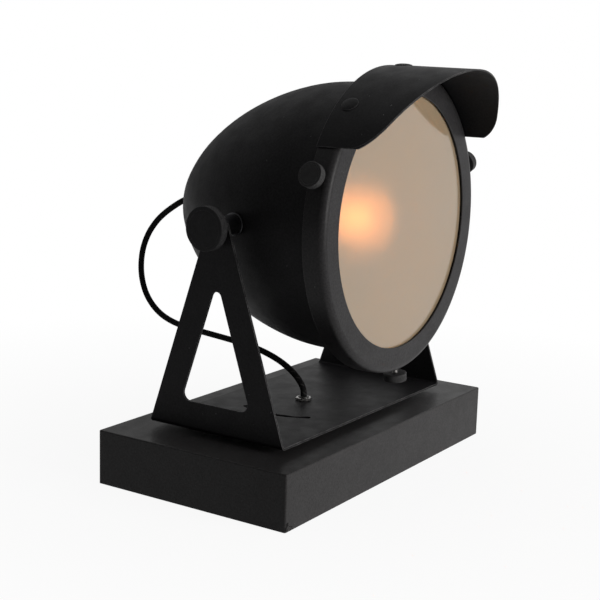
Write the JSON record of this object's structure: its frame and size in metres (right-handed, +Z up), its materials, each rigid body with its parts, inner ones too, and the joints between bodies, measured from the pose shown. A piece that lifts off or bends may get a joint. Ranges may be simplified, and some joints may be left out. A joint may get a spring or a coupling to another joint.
{
  "type": "tabletop searchlight lamp",
  "caption": "Tabletop searchlight lamp: flat box base, swivelling A-leg yoke, tilting bowl head with visor, frosted lens, clamp knobs and a looped cord.",
  "frame": {"origin": "on the swivel axis, on the underside of the base pad, at the centre of the base", "axes": "+Z up, the lens faces -Y at rest, +X is to the right seen from the front"},
  "size_m": [0.356, 0.3742, 0.3772],
  "materials": {
    "base_paint": "satin charcoal enamel, worn at the edges",
    "yoke_paint": "satin charcoal enamel",
    "bowl_paint": "satin charcoal enamel",
    "bezel_paint": "satin grey enamel",
    "visor_paint": "satin charcoal enamel",
    "zinc_steel": "zinc plated",
    "dark_steel": "black oxide",
    "bright_nickel": "bright nickel plate",
    "brass": "turned brass",
    "black_rubber": "matt",
    "pad_rubber": "matt",
    "black_plastic": "matt",
    "knob_plastic": "moulded, fine grain",
    "thumb_black": "knurled, black",
    "white_plastic": "moulded",
    "cord_braid": "black and grey textile braid",
    "frosted_glass": "frosted",
    "bulb_opal": "opal, lit",
    "bulb_aluminium": "pressed screw cap",
    "porcelain": "glazed"
  },
  "bodies": {
    "base": {"base_housing": "base_paint", "base_cover": "zinc_steel", "base_pad": "pad_rubber", "cover_screws": "zinc_steel", "swivel_bush": "brass", "swivel_spacer": "black_plastic", "stop_pin": "zinc_steel", "inlet_grommet": "black_rubber", "terminal_block": "white_plastic", "terminal_screws": "brass", "base_lead": "cord_braid"},
    "yoke": {"yoke_bracket": "yoke_paint", "swivel_stem": "zinc_steel", "swivel_top_nut": "bright_nickel", "swivel_spring_washer": "zinc_steel", "swivel_lock_nut": "zinc_steel", "lamp_cord": "cord_braid"},
    "head": {"bowl_shell": "bowl_paint", "pivot_bosses": "bowl_paint", "pivot_backings": "zinc_steel", "pivot_nuts": "zinc_steel", "tilt_studs": "zinc_steel", "tilt_bushes": "dark_steel", "bush_washers": "bright_nickel", "knob_washers": "zinc_steel", "bezel_ring": "bezel_paint", "front_gasket": "black_rubber", "front_glass": "frosted_glass", "rear_gasket": "black_rubber", "weld_nuts": "zinc_steel", "visor": "visor_paint", "visor_rivets": "visor_paint", "lamp_stem": "zinc_steel", "stem_rear_nut": "zinc_steel", "stem_inner_nut": "zinc_steel", "holder_cap": "porcelain", "holder_body": "porcelain", "holder_shell": "brass", "bulb_cap": "bulb_aluminium", "bulb_glass": "bulb_opal", "head_lead": "cord_braid"},
    "left_knob": {"knob_left": "knob_plastic", "knob_insert_left": "brass"},
    "right_knob": {"knob_right": "knob_plastic", "knob_insert_right": "brass"},
    "left_thumbscrew": {"thumb_head_left": "thumb_black", "thumb_screw_left": "bright_nickel"},
    "right_thumbscrew": {"thumb_head_right": "thumb_black", "thumb_screw_right": "bright_nickel"},
    "bottom_thumbscrew": {"thumb_head_bottom": "thumb_black", "thumb_screw_bottom": "bright_nickel"}
  },
  "joints": [
    {"name": "swivel", "type": "hinge", "parent": "base", "child": "yoke", "pos_m": [0, 0, 0.055], "axis": [0, 0, 1], "range_deg": [-32, 32]},
    {"name": "tilt", "type": "hinge", "parent": "yoke", "child": "head", "pos_m": [0, 0, 0.238], "axis": [-1, 0, 0], "range_deg": [-25, 35], "deforming": ["lamp_cord"]},
    {"name": "left_knob_turn", "type": "hinge", "parent": "head", "child": "left_knob", "pos_m": [-0.1425, 0, 0.238], "axis": [-1, 0, 0], "range_deg": [-180, 90]},
    {"name": "right_knob_turn", "type": "hinge", "parent": "head", "child": "right_knob", "pos_m": [0.1425, 0, 0.238], "axis": [1, 0, 0], "range_deg": [-180, 90]},
    {"name": "left_thumbscrew_turn", "type": "hinge", "parent": "head", "child": "left_thumbscrew", "pos_m": [-0.13391, -0.0899, 0.28674], "axis": [-0.9397, 0, 0.342], "range_deg": [-180, 90]},
    {"name": "right_thumbscrew_turn", "type": "hinge", "parent": "head", "child": "right_thumbscrew", "pos_m": [0.13553, -0.0899, 0.28203], "axis": [0.9511, 0, 0.309], "range_deg": [-180, 90]},
    {"name": "bottom_thumbscrew_turn", "type": "hinge", "parent": "head", "child": "bottom_thumbscrew", "pos_m": [0.0149, -0.0899, 0.09628], "axis": [0.1045, 0, -0.9945], "range_deg": [-180, 90]}
  ]
}
